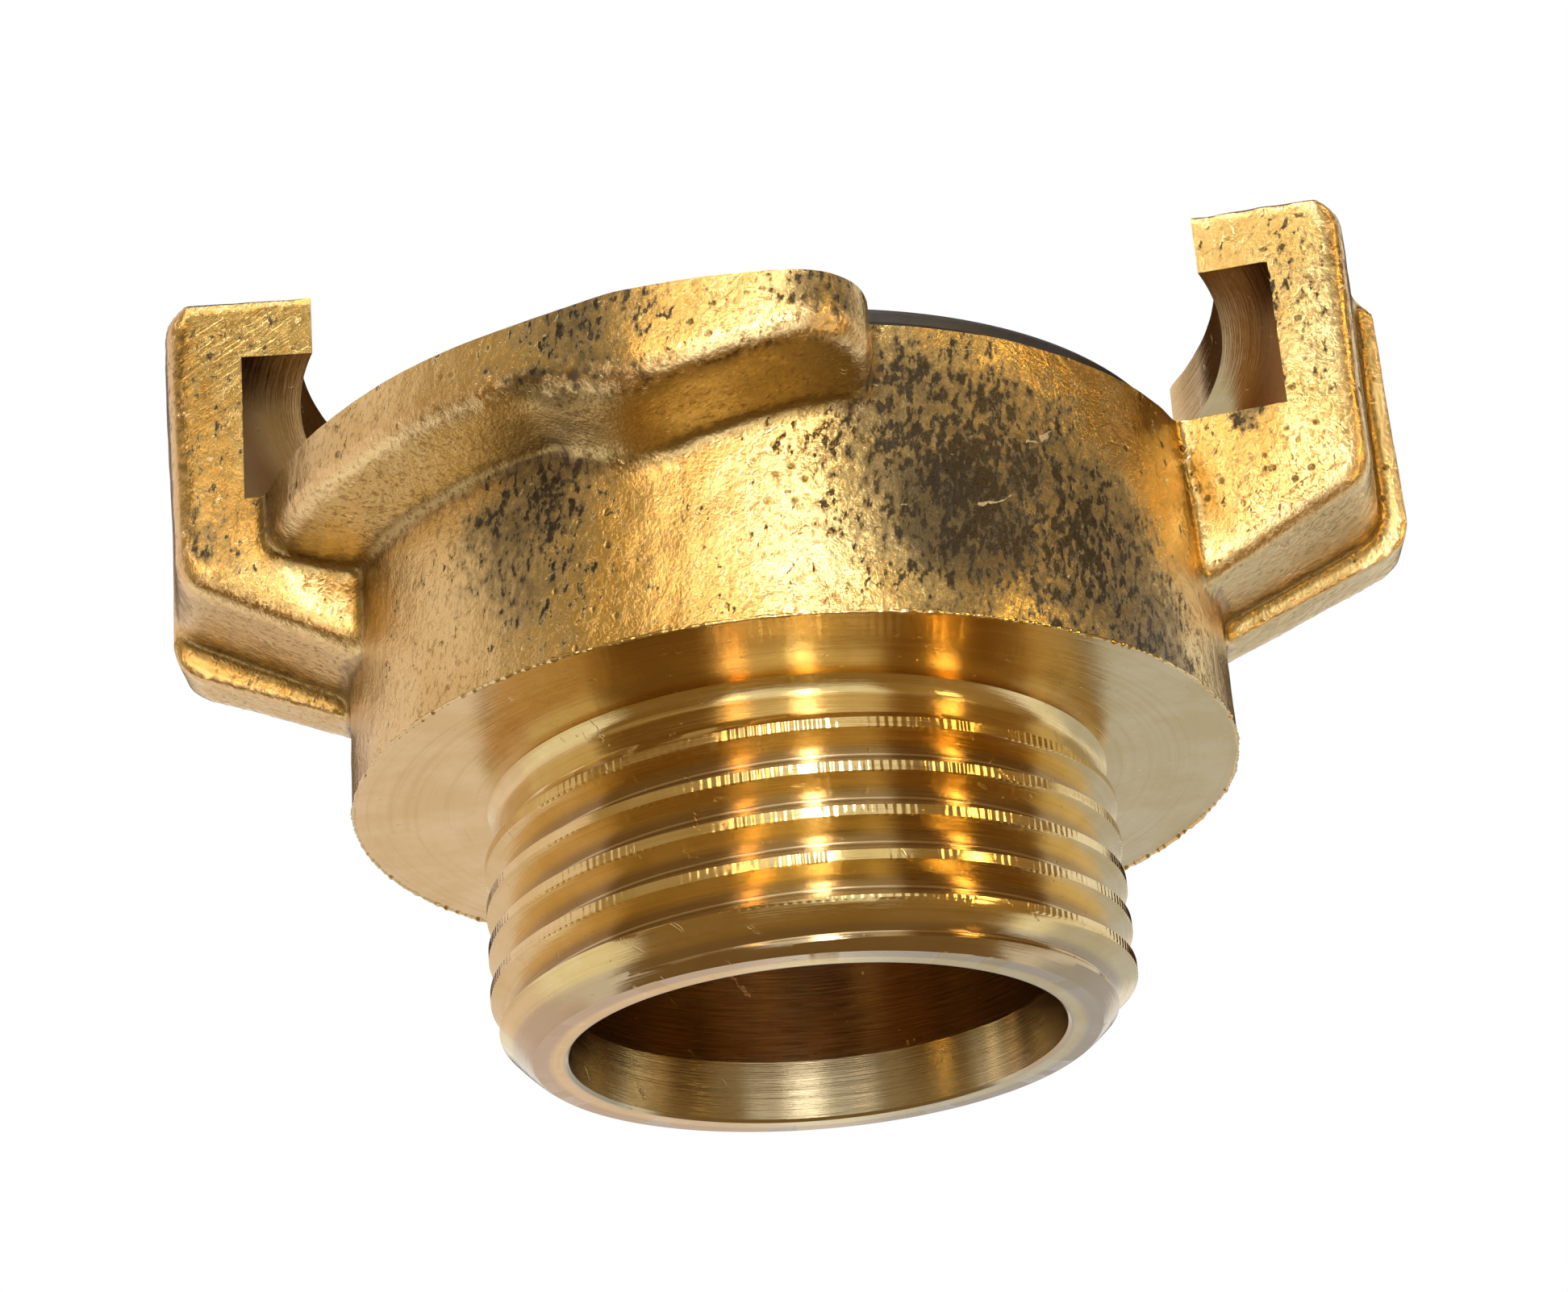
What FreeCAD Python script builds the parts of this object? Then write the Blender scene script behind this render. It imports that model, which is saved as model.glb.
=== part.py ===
import FreeCAD, Part
import math
import os
import Sketcher

# Half of a twist-lock claw coupling for water hose, with a male pipe thread.
# The thread axis is Z. The thread's end face lies on z = 0 and the claws stand up along +Z,
# with their middles on the X axis. The forging's parting plane is the plane y = 0.
# One brass forging carries everything, and a moulded rubber seal sits in its upper face.

# Driving sizes in millimetres and degrees. Angles about Z are counted from the +X claw.

SIZES = [
    ("thread_diameter", 26.44, "outside of the pipe thread"),
    ("neck_diameter", 25.0, "runout neck behind the thread"),
    ("neck_width", 1.5, "length of the runout neck"),
    ("spigot_length", 10.9, "end face to the collar's lower face"),
    ("lead_depth", 1.6, "lead-in of the thread, along the radius"),
    ("lead_length", 1.6, "lead-in of the thread, along the axis"),
    ("bore_diameter", 20.4, "water way"),
    ("collar_diameter", 37.1, "outside of the collar"),
    ("rim_height", 23.2, "end face to the rim"),
    ("recess_diameter", 33.2, "mouth of the seal recess"),
    ("recess_depth", 5.5, "rim to the floor of the seal recess"),
    ("snap_depth", 0.5, "undercut of the snap groove, along the radius"),
    ("snap_width", 1.8, "height of the snap groove"),
    ("snap_drop", 1.7, "rim to the top of the snap groove"),
    ("seal_gap", 0.05, "clearance between the seal and the recess"),
    ("seal_width", 5.8, "recess wall to the seal's hole"),
    ("head_over", 1.0, "seal's head over the rim, along the radius"),
    ("seal_proud", 1.35, "height of the seal's head above the rim"),
    ("lip_rise", 0.45, "height of the sealing lip above the seal's head"),
    ("lip_width", 1.8, "width of the sealing lip"),
    ("lip_inset", 2.2, "seal's hole to the sealing lip"),
    ("seal_round", 0.3, "rounding of the seal's head"),
    ("claw_wall", 2.225, "notch's back to the outer wall, at the parting plane and on z = 0"),
    ("wall_draft", 10.5, "draft of the claw's outer wall, from the parting plane"),
    ("wall_lean", 2.0, "outward lean of the claw's outer wall"),
    ("claw_width", 14.8, "width of a claw where it leaves the collar"),
    ("free_flare", 13.0, "flare of the claw's side face without a lug"),
    ("lug_flare", 3.5, "flare of the claw's side face beside its lug"),
    ("claw_top", 32.85, "height of the claw"),
    ("tip_diameter", 40.6, "circle inside the two tips"),
    ("notch_top", 30.0, "height of the notch's ceiling"),
    ("notch_gap", 0.35, "clearance between a notch's back and the other half's lug head"),
    ("web_height", 16.55, "claw's underside at the collar, at the parting plane"),
    ("web_slope", 26.3, "rise of the claw's underside, outwards"),
    ("front_draft", 1.2, "draft of the underside in the die half at -Y"),
    ("back_draft", 15.0, "draft of the underside in the die half at +Y"),
    ("claw_heel", 1.8, "rounding of the claw's lower corner"),
    ("claw_crown", 0.9, "bevel of the claw's outer upper corner"),
    ("claw_edge", 0.9, "rounding of the claw's side edges"),
    ("land_width", 2.6, "width of the trimmed flash land"),
    ("land_height", 15.75, "land's lower edge at the collar"),
    ("slope_right", 24.8, "rise of the land's lower edge on the +X side"),
    ("slope_left", 21.5, "rise of the land's lower edge on the -X side"),
    ("proud_right", 1.675, "land beyond the outer wall's foot on the +X side"),
    ("proud_left", 0.625, "land beyond the outer wall's foot on the -X side"),
    ("land_heel", 1.0, "land's lower corner, rounded off with two bevels"),
    ("land_top", 31.1, "height where the land ends"),
    ("land_bevel", 1.0, "bevel above the land"),
    ("lug_diameter", 44.6, "circle outside the lugs"),
    ("lug_thickness", 2.6, "lug at its outer edge, where the other half locks"),
    ("lug_slope", 14.0, "fall of the lug's underside towards the collar"),
    ("lug_root", 12.0, "angle where the lug has run into its claw"),
    ("head_step", 0.5, "lug's head beyond its stretch, along the radius"),
    ("head_thickness", 3.8, "lug's head at its thickest"),
    ("head_back", 66.0, "angle where the lug's head has run out into its stretch"),
    ("head_full", 76.0, "angle where the lug's head reaches its full size"),
    ("ramp_high", 78.5, "angle where the ramp starts, at the head's thickest"),
    ("ramp_slope", 11.5, "rise of the ramp"),
    ("head_front", 102.5, "angle of the lug's free end"),
    ("head_corner", 3.2, "rounding of the lug's free end"),
    ("lug_edge", 1.0, "rounding of the lug's lower edge"),
]

# Sizes that follow from them: a notch takes the other half's lug, and the claw goes round it.

FOLLOWING = {
    "head_diameter": "(lug_diameter + 2 * head_step)",
    "notch_diameter": "(head_diameter + 2 * notch_gap)",
    "claw_span": "(notch_diameter + 2 * claw_wall)",
    "reach_right": "(claw_span / 2 + proud_right)",
    "reach_left": "(claw_span / 2 + proud_left)",
}

doc = FreeCAD.newDocument("claw_coupling")
sheet = doc.addObject("Spreadsheet::Sheet", "Sizes")
for row, (name, value, note) in enumerate(SIZES, start=1):
    sheet.set("A%d" % row, name)
    sheet.set("B%d" % row, str(value))
    sheet.set("C%d" % row, note)
    sheet.setAlias("B%d" % row, name)
doc.recompute()
NAMES = {name for name, value, note in SIZES}

# Sketcher's own numbers for its X axis, its Y axis and the two ends of a line.
ORIGIN, UPRIGHT = range(-1, -3, -1)
START, END = range(1, 3)

NEAR = 0.01
CLEAR = 1.0
CLAW_NAMES = {1: "claw_plus", -1: "claw_minus"}


def bound(formula):
    """A formula in size names, as an expression that reads the sheet's cells."""
    words = []
    word = ""
    for sign in formula + " ":
        if sign.isalnum() or sign in "_.":
            word += sign
        else:
            if word in FOLLOWING:
                word = bound(FOLLOWING[word])
            words.append("Sizes." + word if word in NAMES else word)
            words.append(sign)
            word = ""
    return "".join(words).strip()


def value_of(formula):
    """The formula's present value, for sketch points, edge choices and checks."""
    result = sheet.evalExpression(bound(formula))
    return float(getattr(result, "Value", result))


def origin_feature(body, role):
    return next(item for item in body.Origin.OriginFeatures if item.Role == role)


def polygon(body, name, role, points, offset=None):
    """A closed outline on one of the body's planes. Each point is two formulas, and each coordinate
    is a dimension from the origin. The offset moves the outline along the plane's normal."""
    sketch = body.newObject("Sketcher::SketchObject", name)
    sketch.AttachmentSupport = (origin_feature(body, role), [""])
    sketch.MapMode = "FlatFace"
    if offset:
        sketch.setExpression("AttachmentOffset.Base.z", bound(offset))
    places = [FreeCAD.Vector(value_of(across), value_of(up), 0) for across, up in points]
    for index, place in enumerate(places):
        following = places[(index + 1) % len(places)]
        sketch.addGeometry(Part.LineSegment(place, following), False)
    for index in range(len(points)):
        sketch.addConstraint(Sketcher.Constraint("Coincident", index, END, (index + 1) % len(points), START))
    for index, (across, up) in enumerate(points):
        if across == "0":
            sketch.addConstraint(Sketcher.Constraint("PointOnObject", index, START, UPRIGHT))
        else:
            add_dimension(sketch, "DistanceX", index, places[index].x, across)
        if up == "0":
            sketch.addConstraint(Sketcher.Constraint("PointOnObject", index, START, ORIGIN))
        else:
            add_dimension(sketch, "DistanceY", index, places[index].y, up)
    return sketch


def add_dimension(sketch, kind, index, place, formula):
    number = sketch.addConstraint(Sketcher.Constraint(kind, ORIGIN, START, index, START, place))
    sketch.setExpression("Constraints[%d]" % number, bound(formula))


def turned(body, kind, name, sketch, first="360", second=None):
    """A Revolution or Groove of a sketch about Z, all round or over one or two angles."""
    feature = body.newObject("PartDesign::" + kind, name)
    feature.Profile = sketch
    feature.ReferenceAxis = (origin_feature(body, "Z_Axis"), [""])
    if second:
        feature.Type = "TwoAngles"
        feature.setExpression("Angle2", bound(second))
    feature.setExpression("Angle", bound(first))
    doc.recompute()
    return feature


def round_edges(body, name, base, chosen, radius):
    """Round the base's edges that the test chooses. The radius is a formula."""
    names = ["Edge%d" % (i + 1) for i, edge in enumerate(base.Shape.Edges) if chosen(edge)]
    fillet = body.newObject("PartDesign::Fillet", name)
    fillet.Base = (base, names)
    fillet.setExpression("Radius", bound(radius))
    doc.recompute()
    return fillet


def middle(edge):
    """The point halfway along an edge."""
    return edge.valueAt((edge.FirstParameter + edge.LastParameter) / 2)


def polar(point):
    """Distance from Z and angle about it, in degrees from -180 to 180."""
    return math.hypot(point.x, point.y), math.degrees(math.atan2(point.y, point.x))


def slanted_cut(body, name, section):
    """Cut below a slanted underside: a section on the XZ plane, swept towards +Y and up along the
    slope of the lug's underside."""
    cut = body.newObject("PartDesign::Pocket", name)
    cut.Profile = section
    cut.UseCustomVector = True
    cut.AlongSketchNormal = False
    cut.Direction = FreeCAD.Vector(0, 1, 0)
    cut.setExpression("Direction.y", bound("cos(lug_slope)"))
    cut.setExpression("Direction.z", bound("sin(lug_slope)"))
    cut.setExpression("Length", bound("head_diameter"))
    doc.recompute()
    return cut


def lug(body):
    """One lug at the +Y side: a thick head with a ramp at its free end, and the thinner stretch that
    the other half's claw locks under. It is a sector from the bore outwards, before the collar
    fills the middle."""
    inner = "bore_diameter / 2"
    fall = " - (%s - bore_diameter) / 2 * tan(lug_slope)"
    low = "rim_height - head_thickness"
    thin = "rim_height - lug_thickness"
    head = polygon(body, "head_section", "YZ_Plane", [
        (inner, low + fall % "head_diameter"),
        ("head_diameter / 2", low),
        ("head_diameter / 2", "rim_height"),
        (inner, "rim_height"),
    ])
    turned(body, "Revolution", "lug_head", head, "head_front - 90", "90 - head_back")

    start = low + " - head_diameter / 2 * tan(lug_slope)"
    high = "head_diameter / 2 * cos(ramp_high)"
    past = "-1 * head_diameter / 2"
    slanted_cut(body, "lug_ramp", polygon(body, "ramp_side", "XZ_Plane", [
        (high, start),
        (past, start + " + (%s + head_diameter / 2) * tan(ramp_slope)" % high),
        (past, start + " - head_thickness"),
        (high, start + " - head_thickness"),
    ]))
    full = "head_diameter / 2 * cos(head_full)"
    back = "lug_diameter / 2 * cos(head_back)"
    slanted_cut(body, "lug_run_out", polygon(body, "run_out_side", "XZ_Plane", [
        (full, low + " - head_diameter / 2 * sin(head_full) * tan(lug_slope)"),
        (full, start + " - head_thickness"),
        (back + " + head_thickness", start + " - head_thickness"),
        (back + " + head_thickness", thin + " - lug_diameter / 2 * sin(head_back) * tan(lug_slope)"),
        (back, thin + " - lug_diameter / 2 * sin(head_back) * tan(lug_slope)"),
    ]))
    cut = body.newObject("PartDesign::Pocket", "lug_narrowing")
    cut.Profile = polygon(body, "narrowing_outline", "XY_Plane", [
        (full, "head_diameter / 2 * sin(head_full)"),
        (back, "lug_diameter / 2 * sin(head_back)"),
        ("head_diameter / 2", "lug_diameter / 2 * sin(head_back)"),
        ("head_diameter / 2", "head_diameter / 2 * sin(head_full)"),
    ])
    cut.Reversed = True
    cut.setExpression("Length", bound("rim_height"))
    doc.recompute()

    stretch = polygon(body, "lug_section", "YZ_Plane", [
        (inner, thin + fall % "lug_diameter"),
        ("lug_diameter / 2", thin),
        ("lug_diameter / 2", "rim_height"),
        (inner, "rim_height"),
    ])
    return turned(body, "Revolution", "lug_stretch", stretch, "head_back - 90", "90 - lug_root")


def lug_rounding(body, base):
    """The lug's free end rounded in plan, then its lower outer edge."""
    outside = value_of("head_diameter / 2")
    free = value_of("head_front")

    def free_corner(edge):
        radius, angle = polar(middle(edge))
        ends = [polar(vertex.Point) for vertex in edge.Vertexes]
        level = abs(ends[0][0] - ends[-1][0]) < NEAR and abs(ends[0][1] - ends[-1][1]) < NEAR
        return level and abs(radius - outside) < NEAR and abs(angle - free) < CLEAR

    corner = round_edges(body, "head_corners", base, free_corner, "head_corner")

    def lower_outer(edge):
        radius, angle = polar(middle(edge))
        heights = [vertex.Point.z for vertex in edge.Vertexes]
        outer = radius > value_of("lug_diameter / 2 - head_corner")
        along = polar(edge.Vertexes[0].Point)[1] - polar(edge.Vertexes[-1].Point)[1]
        below = max(heights) < value_of("rim_height") - NEAR
        return outer and below and abs(along) > CLEAR and angle > value_of("lug_root") + CLEAR

    return round_edges(body, "lug_edges", corner, lower_outer, "lug_edge")


def second_lug(body):
    """The lug again, half a turn on."""
    pattern = body.newObject("PartDesign::PolarPattern", "second_lug")
    pattern.TransformMode = "Whole shape"
    pattern.Axis = (origin_feature(body, "Z_Axis"), [""])
    pattern.Angle = 360
    pattern.Occurrences = 2
    body.Tip = pattern
    doc.recompute()
    return pattern


def claw(body, side):
    """A claw with its web as a loft outwards from the bore, cut off by its drafted outer wall. The
    side is 1 for +X and -1 for -X. The lathe cuts its notch and tip later."""
    name = CLAW_NAMES[side]
    front_flare, back_flare = ("free_flare", "lug_flare")[::side]
    beyond = "(claw_span / 2 + claw_width)"
    sections = []
    for place, distance in (("root", "bore_diameter / 2"), ("end", beyond)):
        web = "web_height + (%s - collar_diameter / 2) * tan(web_slope)" % distance
        half = "(claw_width / 2 + (%s - collar_diameter / 2) * tan(%s))"
        front = half % (distance, front_flare)
        back = half % (distance, back_flare)
        sections.append(polygon(body, "%s_%s" % (name, place), "YZ_Plane", [
            ("-1 * " + front, web + " + %s * tan(front_draft)" % front),
            ("0", web),
            (back, web + " + %s * tan(back_draft)" % back),
            (back, "claw_top"),
            ("-1 * " + front, "claw_top"),
        ], "%d * %s" % (side, distance)))
    loft = body.newObject("PartDesign::AdditiveLoft", name)
    loft.Profile = sections[0]
    loft.Sections = sections[1:]
    loft.Ruled = True
    doc.recompute()

    drafted = "%d * (claw_span / 2 - claw_width * tan(wall_draft))" % side
    past = "%d * 2 * %s" % (side, beyond)
    cut = body.newObject("PartDesign::Pocket", name + "_wall")
    cut.Profile = polygon(body, name + "_wall_outline", "XY_Plane", [
        ("%d * claw_span / 2" % side, "0"),
        (drafted, "claw_width"),
        (past, "claw_width"),
        (past, "-1 * claw_width"),
        (drafted, "-1 * claw_width"),
    ])
    cut.UseCustomVector = True
    cut.AlongSketchNormal = False
    cut.Direction = FreeCAD.Vector(0, 0, 1)
    cut.setExpression("Direction.x", bound("%d * sin(wall_lean)" % side))
    cut.setExpression("Direction.z", bound("cos(wall_lean)"))
    cut.setExpression("Length", bound("claw_top + claw_crown"))
    doc.recompute()
    return cut


def claw_rounding(body, base, side):
    """Heel, crown and side edges of one claw. Each side edge is chosen by its upright stretch, and
    the rounding follows it round the heel."""
    name = CLAW_NAMES[side]
    lean = value_of("tan(wall_lean)")
    draft = value_of("tan(wall_draft)")
    slope = value_of("tan(web_slope)")
    rises = value_of("tan(front_draft)"), value_of("tan(back_draft)")

    def on_wall(point):
        wall = value_of("claw_span / 2") - abs(point.y) * draft + point.z * lean
        return abs(point.x * side - wall) < NEAR

    def on_web(point):
        out = point.x * side - value_of("collar_diameter / 2")
        rise = max(-point.y, 0) * rises[0] + max(point.y, 0) * rises[1]
        return abs(point.z - value_of("web_height") - out * slope - rise) < NEAR

    def outer(edge):
        return all(on_wall(vertex.Point) for vertex in edge.Vertexes)

    def heel(edge):
        return outer(edge) and all(on_web(vertex.Point) for vertex in edge.Vertexes)

    def crown(edge):
        level = value_of("claw_top") - NEAR
        return outer(edge) and all(vertex.Point.z > level for vertex in edge.Vertexes)

    def upright(edge):
        ends = [vertex.Point for vertex in edge.Vertexes]
        aside = all(abs(point.y) > value_of("claw_width / 2") for point in ends)
        return outer(edge) and aside and abs(ends[0].z - ends[-1].z) > value_of("claw_heel")

    base = round_edges(body, name + "_heel", base, heel, "claw_heel")
    names = ["Edge%d" % (i + 1) for i, edge in enumerate(base.Shape.Edges) if crown(edge)]
    bevel = body.newObject("PartDesign::Chamfer", name + "_crown")
    bevel.Base = (base, names)
    bevel.setExpression("Size", bound("claw_crown"))
    doc.recompute()
    return round_edges(body, name + "_edges", bevel, upright, "claw_edge")


def land(body, name, side, reach, slope):
    """What trimming the flash leaves along the parting plane: a low rib round the outside of one
    claw. The side is 1 for +X and -1 for -X."""
    lower = "land_height + (%%s - collar_diameter / 2) * tan(%s)" % slope
    inner = "bore_diameter / 2"
    bevel = "land_heel * (1 - cos(45))"
    section = polygon(body, name + "_section", "XZ_Plane", [
        ("%d * %s" % (side, inner), lower % inner),
        ("%d * (%s - land_heel)" % (side, reach), lower % ("(%s - land_heel)" % reach)),
        ("%d * (%s - %s)" % (side, reach, bevel), lower % reach + " + %s / 2" % bevel),
        ("%d * %s" % (side, reach), lower % reach + " + land_heel"),
        ("%d * %s" % (side, reach), "land_top"),
        ("%d * (%s - land_bevel)" % (side, reach), "land_top + land_bevel"),
        ("%d * %s" % (side, inner), "land_top + land_bevel"),
    ])
    rib = body.newObject("PartDesign::Pad", name)
    rib.Profile = section
    rib.SideType = "Symmetric"
    rib.setExpression("Length", bound("land_width"))
    doc.recompute()
    return rib


def collar_and_spigot(body):
    """The turned outside: threaded spigot, runout neck and collar. The thread itself stands at its
    outside diameter."""
    section = polygon(body, "collar_section", "XZ_Plane", [
        ("0", "0"),
        ("thread_diameter / 2 - lead_depth", "0"),
        ("thread_diameter / 2", "lead_length"),
        ("thread_diameter / 2", "spigot_length - neck_width - (thread_diameter - neck_diameter) / 2"),
        ("neck_diameter / 2", "spigot_length - neck_width"),
        ("neck_diameter / 2", "spigot_length"),
        ("collar_diameter / 2", "spigot_length"),
        ("collar_diameter / 2", "rim_height"),
        ("0", "rim_height"),
    ])
    return turned(body, "Revolution", "collar", section)


def claw_turning(body):
    """The lathe's cut above the rim: it leaves the tips on one circle and the notches below them."""
    section = polygon(body, "notch_section", "XZ_Plane", [
        ("0", "rim_height"),
        ("notch_diameter / 2", "rim_height"),
        ("notch_diameter / 2", "notch_top"),
        ("tip_diameter / 2", "notch_top"),
        ("tip_diameter / 2", "claw_top"),
        ("0", "claw_top"),
    ])
    return turned(body, "Groove", "claw_turning", section)


def bore_and_recess(body):
    """The water way, and the recess with its snap groove that holds the seal."""
    section = polygon(body, "bore_section", "XZ_Plane", [
        ("0", "0"),
        ("bore_diameter / 2", "0"),
        ("bore_diameter / 2", "rim_height - recess_depth"),
        ("recess_diameter / 2", "rim_height - recess_depth"),
        ("recess_diameter / 2", "rim_height - snap_drop - snap_width"),
        ("recess_diameter / 2 + snap_depth", "rim_height - snap_drop - snap_width"),
        ("recess_diameter / 2 + snap_depth", "rim_height - snap_drop"),
        ("recess_diameter / 2", "rim_height - snap_drop"),
        ("recess_diameter / 2", "rim_height"),
        ("0", "rim_height"),
    ])
    return turned(body, "Groove", "bore_and_recess", section)


def coupling_body():
    """The brass forging with its turned faces."""
    body = doc.addObject("PartDesign::Body", "coupling_body")
    lug_rounding(body, lug(body))
    second_lug(body)
    claw_rounding(body, claw(body, 1), 1)
    claw_rounding(body, claw(body, -1), -1)
    land(body, "land_plus", 1, "reach_right", "slope_right")
    land(body, "land_minus", -1, "reach_left", "slope_left")
    collar_and_spigot(body)
    claw_turning(body)
    bore_and_recess(body)
    return body


def face_seal():
    """The moulded rubber ring: a plug with a snap bead in the recess, a head that lies on the rim,
    and a raised sealing lip."""
    body = doc.addObject("PartDesign::Body", "face_seal")
    hole = "recess_diameter / 2 - seal_width"
    plug = "recess_diameter / 2 - seal_gap"
    top = "rim_height + seal_proud"
    section = polygon(body, "seal_section", "XZ_Plane", [
        (hole, "rim_height - recess_depth"),
        (plug, "rim_height - recess_depth"),
        (plug, "rim_height - snap_drop - snap_width + seal_gap"),
        (plug + " + snap_depth", "rim_height - snap_drop - snap_width + seal_gap"),
        (plug + " + snap_depth", "rim_height - snap_drop - seal_gap"),
        (plug, "rim_height - snap_drop - seal_gap"),
        (plug, "rim_height"),
        ("recess_diameter / 2 + head_over", "rim_height"),
        ("recess_diameter / 2 + head_over", top),
        (hole + " + lip_inset + lip_width", top),
        (hole + " + lip_inset + lip_width", top + " + lip_rise"),
        (hole + " + lip_inset", top + " + lip_rise"),
        (hole + " + lip_inset", top),
        (hole, top),
    ])
    ring = turned(body, "Revolution", "seal_ring", section)
    head = value_of("recess_diameter / 2 + head_over")

    def head_edge(edge):
        point = middle(edge)
        at_top = abs(point.z - value_of(top)) < NEAR
        return at_top and abs(polar(point)[0] - head) < NEAR

    round_edges(body, "seal_head_edge", ring, head_edge, "seal_round")
    return body


def write(parts):
    """Check every object of the document, then write each part's solid."""
    doc.recompute()
    for item in doc.Objects:
        if "Invalid" in item.State or "Error" in item.State:
            raise RuntimeError("%s is %s" % (item.Label, item.State))
    for part in parts:
        if part.Shape.isNull() or not part.Shape.isValid() or len(part.Shape.Solids) != 1:
            raise RuntimeError("%s has no valid solid" % part.Label)
    os.makedirs("parts", exist_ok=True)
    for part in parts:
        part.Shape.exportStep("parts/%s.step" % part.Label)


write([coupling_body(), face_seal()])
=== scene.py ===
"""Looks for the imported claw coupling: a brass forging with turned faces, its cut pipe thread, and
the rubber face seal. Lengths are in millimetres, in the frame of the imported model. Lengths of the
camera, the lamps and the cards are in metres."""

import math

import bmesh
import bpy
import numpy as np
from mathutils import Matrix, Vector, noise


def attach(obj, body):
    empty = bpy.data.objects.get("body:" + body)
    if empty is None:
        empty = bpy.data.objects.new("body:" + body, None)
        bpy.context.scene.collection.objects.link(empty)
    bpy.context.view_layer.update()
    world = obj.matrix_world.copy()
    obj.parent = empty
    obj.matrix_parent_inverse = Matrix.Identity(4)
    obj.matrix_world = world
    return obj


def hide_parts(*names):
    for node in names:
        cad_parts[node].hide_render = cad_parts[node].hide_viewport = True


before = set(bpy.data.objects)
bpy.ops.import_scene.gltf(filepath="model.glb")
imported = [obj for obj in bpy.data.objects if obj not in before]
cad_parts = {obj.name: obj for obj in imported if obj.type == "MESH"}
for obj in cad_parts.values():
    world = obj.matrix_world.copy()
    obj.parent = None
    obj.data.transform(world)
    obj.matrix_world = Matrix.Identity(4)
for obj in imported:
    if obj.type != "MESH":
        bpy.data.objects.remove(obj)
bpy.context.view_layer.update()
scene = bpy.context.scene

MM = 0.001

# Sizes of the turned faces
SPIGOT_LENGTH = 10.9
BORE = 10.2
COLLAR = 18.55
RIM = 23.2
RECESS = 16.6
RECESS_FLOOR = 17.7
SNAP = 17.1
SNAP_LOW = 19.7
SNAP_HIGH = 21.5
NOTCH = 23.15
NOTCH_TOP = 30.0
TIP = 20.3

# The claws: half the width at the collar, flare of the sides, half the width of the flash land
CLAW_HALF = 7.4
CLAW_FLARE = math.radians(14.0)
LAND_HALF = 1.3

# What the lathe takes off the blank: above the rim, inside the claws, below the shoulder
RIM_STOCK = 0.9
CLAW_STOCK = 2.5
SHOULDER_STOCK = 2.0

# The profile that the lathe cuts, radius and height, closed well clear of the blank
CLEAR_LOW = -6.0
CLEAR_HIGH = 40.0
CLEAR_OUT = 40.0
CUT = (
    (0, CLEAR_LOW), (CLEAR_OUT, CLEAR_LOW), (CLEAR_OUT, SPIGOT_LENGTH), (BORE, SPIGOT_LENGTH),
    (BORE, RECESS_FLOOR), (RECESS, RECESS_FLOOR), (RECESS, SNAP_LOW), (SNAP, SNAP_LOW),
    (SNAP, SNAP_HIGH), (RECESS, SNAP_HIGH), (RECESS, RIM), (NOTCH, RIM), (NOTCH, NOTCH_TOP),
    (TIP, NOTCH_TOP), (TIP, CLEAR_HIGH), (0, CLEAR_HIGH),
)

# The thread: G 3/4, right-hand, 55 degrees
PITCH = 1.814
CREST = 13.22
ROOT = 12.06
CREST_FLAT = 0.40
ROOT_ROUND = 0.12
FLANK = math.radians(27.5)

# Where the photograph shows a crest: its height at a share of a turn
PHASE_Z = 5.10
PHASE_TURN = -82.0 / 360.0

# The spigot's outline: the lead-in at the end, the neck, the curve into the shoulder
LEAD_RADIUS = 11.62
LEAD_LENGTH = 1.6
LEAD_BEND = 0.85
NECK = 12.5
NECK_LOW = 9.42
NECK_HIGH = 10.25
RUNOUT = 0.25
SHOULDER_ROUND = 13.0
SHOULDER_BEND = 1.6
BORE_EDGE = 0.12

# How finely the meshes are made
VOXEL = 0.25
LATHE_STEPS = 288
PLUG_STEPS = 180
THREAD_STEPS = 320
SEAL_STEPS = 192
BURR_STEPS = 1440
BURR_SIDES = 6
RIM_BINS = 360

# How many rounds of averaging the forged skin gets: all over, at the ramps' steps, for its edges
BLANK_ROUNDS = 4
RAMP_ROUNDS = 44
EDGE_ROUNDS = 12

# Where a lug's ramp climbs to its head, a soft wave on the forging: centre, full and outer reach
RAMP_STEPS = (
    ((-6.6, -20.3, 19.6), 2.2, 4.4),
    ((6.6, 20.3, 19.6), 2.2, 4.4),
)

# Waves of the forged skin: height, waves in a millimetre, and a shift that keeps them apart
SKIN_WAVES = (
    (0.050, 0.22, Vector((0.0, 0.0, 0.0))),
    (0.030, 0.6, Vector((7.0, 3.0, 1.0))),
    (0.018, 1.4, Vector((1.0, 9.0, 4.0))),
)


def apply_modifiers(obj):
    """Put the object's evaluated mesh in the place of its own mesh."""
    graph = bpy.context.evaluated_depsgraph_get()
    made = bpy.data.meshes.new_from_object(obj.evaluated_get(graph), depsgraph=graph)
    obj.modifiers.clear()
    old = obj.data
    obj.data = made
    bpy.data.meshes.remove(old)


def object_of(name, bm):
    """A new object from a bmesh, which is freed."""
    mesh = bpy.data.meshes.new(name)
    bm.to_mesh(mesh)
    bm.free()
    obj = bpy.data.objects.new(name, mesh)
    scene.collection.objects.link(obj)
    return obj


def vertices_in(found):
    """The vertices among what a bmesh operator gives back."""
    return [item for item in found if isinstance(item, bmesh.types.BMVert)]


def ring(bm, radius, level, steps, start=0.0):
    """A ring of vertices round Z that starts at a share of a turn."""
    made = []
    for i in range(steps):
        turn = 2 * math.pi * (i / steps + start)
        made.append(bm.verts.new((radius * math.cos(turn), radius * math.sin(turn), level)))
    return made


def band(bm, low, high):
    """Faces between two closed rings."""
    for i in range(len(low)):
        j = (i + 1) % len(low)
        bm.faces.new((low[i], low[j], high[j], high[i]))


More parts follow.
